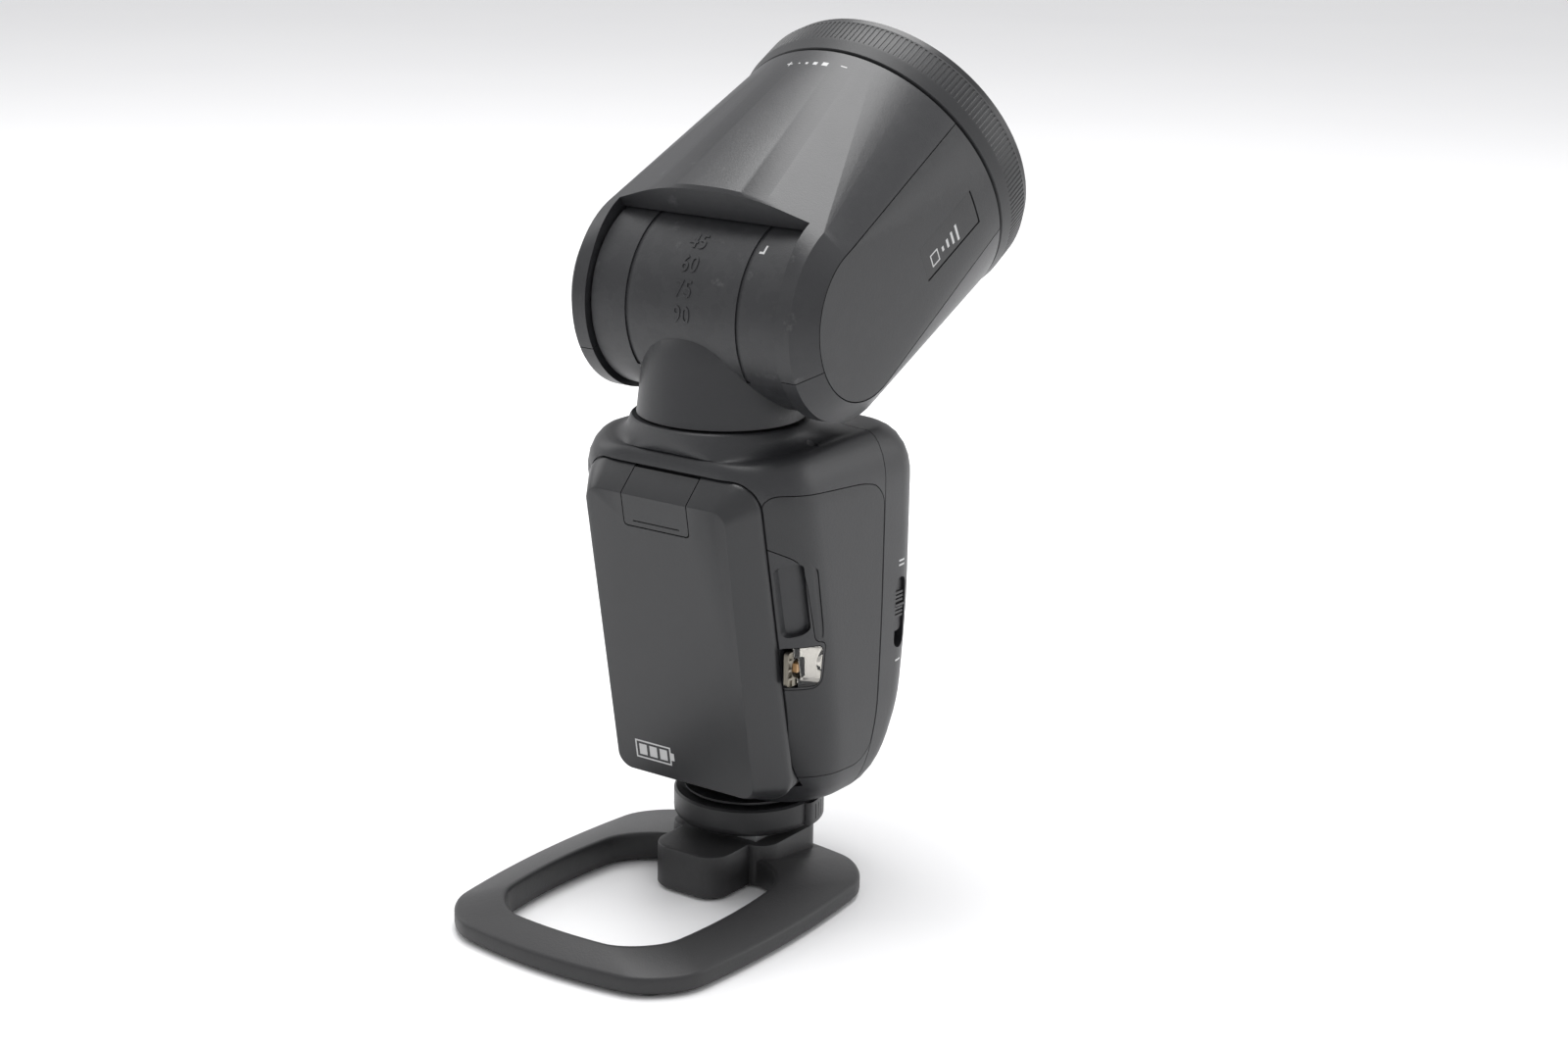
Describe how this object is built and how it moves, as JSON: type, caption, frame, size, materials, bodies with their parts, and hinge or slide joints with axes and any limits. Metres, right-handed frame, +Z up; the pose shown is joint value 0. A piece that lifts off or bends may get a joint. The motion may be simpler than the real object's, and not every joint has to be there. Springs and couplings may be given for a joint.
{
  "type": "speedlight flash",
  "caption": "Camera speedlight with a round zoom head on a tilting drum and swivel neck, leaning battery slab, and slide-in foot standing on an open frame base.",
  "frame": {"origin": "on the floor under the middle of the hot-shoe foot, at the mouth of the stand's threaded insert", "axes": "+Z up, -Y the way the battery face looks, +X the side with the status window and the mode switch"},
  "size_m": [0.075, 0.1531, 0.1997],
  "materials": {
    "shell": "fine textured charcoal",
    "cover": "fine textured charcoal",
    "stand": "fine textured black",
    "rubber": "matt",
    "brass": "satin",
    "steel": "satin",
    "gold": "plated",
    "clear": "clear",
    "chrome": "mirror",
    "amber": "glossy",
    "board": "solder mask",
    "cap": "sleeve",
    "screen": "glossy",
    "cell": "sleeve",
    "gloss": "satin",
    "led": "phosphor",
    "tube": "clear",
    "alu": "satin"
  },
  "bodies": {
    "stand": {"stand_frame": "stand", "stand_feet": "rubber", "thread_insert": "brass", "shoe_plate": "steel"},
    "flash": {"foot_plate": "steel", "foot_contacts": "gold", "foot_base": "shell", "body_front_shell": "shell", "body_rear_shell": "shell", "side_cover_right": "cover", "side_cover_left": "cover", "status_window": "clear", "window_reflector": "chrome", "window_lamp": "amber", "main_board": "board", "capacitor": "cap", "display_panel": "screen", "display_glass": "clear", "body_screws": "steel", "usb_socket": "alu", "neck_bush": "brass"},
    "lock_ring": {"lock_ring": "shell"},
    "lock_pin": {"lock_pin": "steel"},
    "usb_flap": {"usb_flap": "rubber"},
    "battery": {"battery_case": "shell", "battery_cells": "cell", "battery_contacts": "gold"},
    "battery_latch": {"battery_latch": "cover"},
    "mode_switch": {"mode_switch": "gloss"},
    "control_dial": {"control_dial": "gloss"},
    "dial_button": {"dial_button": "gloss"},
    "menu_left": {"menu_button_left": "gloss"},
    "menu_right": {"menu_button_right": "gloss"},
    "neck": {"drum_neck": "shell", "pan_retainer": "steel", "pivot_shafts": "steel"},
    "head": {"head_top_shell": "shell", "head_bottom_shell": "shell", "side_panel_right": "cover", "side_panel_left": "cover", "front_bezel": "gloss", "front_lens": "clear", "magnet_ring": "alu", "guide_rods": "steel", "head_bulkhead": "gloss", "driver_board": "board", "head_screws": "steel"},
    "flex_button": {"flex_button": "cover"},
    "zoom_ring": {"zoom_ring": "shell"},
    "carriage": {"carriage_frame": "gloss", "reflector": "chrome", "flash_tube": "tube", "modelling_led": "led"}
  },
  "joints": [
    {"name": "foot_slide", "type": "slide", "parent": "stand", "child": "flash", "axis": [0, 1, 0], "range_m": [0, 0.02]},
    {"name": "lock_ring_turn", "type": "hinge", "parent": "flash", "child": "lock_ring", "pos_m": [0, 0, 0.018], "axis": [0, 0, 1], "range_deg": [0, 60]},
    {"name": "lock_pin_slide", "type": "slide", "parent": "flash", "child": "lock_pin", "axis": [0, 0, 1], "range_m": [0, 0.00125]},
    {"name": "battery_slide", "type": "slide", "parent": "flash", "child": "battery", "axis": [0, -0.9781, -0.2079], "range_m": [0, 0.025]},
    {"name": "battery_latch_press", "type": "slide", "parent": "battery", "child": "battery_latch", "axis": [0, 0.9781, 0.2079], "range_m": [0, 0.001], "stiffness_N_per_m": 500},
    {"name": "usb_flap_swing", "type": "hinge", "parent": "flash", "child": "usb_flap", "pos_m": [-0.0302, 0.0184, 0.062], "axis": [0, 0, 1], "range_deg": [-90, 0]},
    {"name": "mode_switch_slide", "type": "slide", "parent": "flash", "child": "mode_switch", "axis": [0, 0, 1], "range_m": [-0.0036, 0]},
    {"name": "dial_turn", "type": "hinge", "parent": "flash", "child": "control_dial", "pos_m": [0, 0.0275, 0.047], "axis": [0, 1, 0], "continuous": true},
    {"name": "dial_button_press", "type": "slide", "parent": "flash", "child": "dial_button", "axis": [0, -1, 0], "range_m": [0, 0.0008], "stiffness_N_per_m": 400},
    {"name": "menu_left_press", "type": "slide", "parent": "flash", "child": "menu_left", "axis": [0, -1, 0], "range_m": [0, 0.0006], "stiffness_N_per_m": 400},
    {"name": "menu_right_press", "type": "slide", "parent": "flash", "child": "menu_right", "axis": [0, -1, 0], "range_m": [0, 0.0006], "stiffness_N_per_m": 400},
    {"name": "head_pan", "type": "hinge", "parent": "flash", "child": "neck", "pos_m": [0, -0.012, 0.115], "axis": [0, 0, 1], "range_deg": [-180, 180]},
    {"name": "head_tilt", "type": "hinge", "parent": "neck", "child": "head", "pos_m": [0, -0.0056, 0.1392], "axis": [1, 0, 0], "range_deg": [-16, 61]},
    {"name": "flex_button_press", "type": "slide", "parent": "head", "child": "flex_button", "axis": [-1, 0, 0], "range_m": [0, 0.0005], "stiffness_N_per_m": 500},
    {"name": "zoom_ring_turn", "type": "hinge", "parent": "head", "child": "zoom_ring", "pos_m": [0, 0.04944, 0.16365], "axis": [0, 0.8755, 0.4833], "range_deg": [0, 70]},
    {"name": "zoom_slide", "type": "slide", "parent": "head", "child": "carriage", "axis": [0, 0.8755, 0.4833], "range_m": [-0.0072, 0]}
  ],
  "couplings": [
    {"joint": "zoom_slide", "follows": "zoom_ring_turn", "m_per_rad": -0.0057296},
    {"joint": "lock_pin_slide", "follows": "lock_ring_turn", "m_per_rad": 0.0011459}
  ]
}
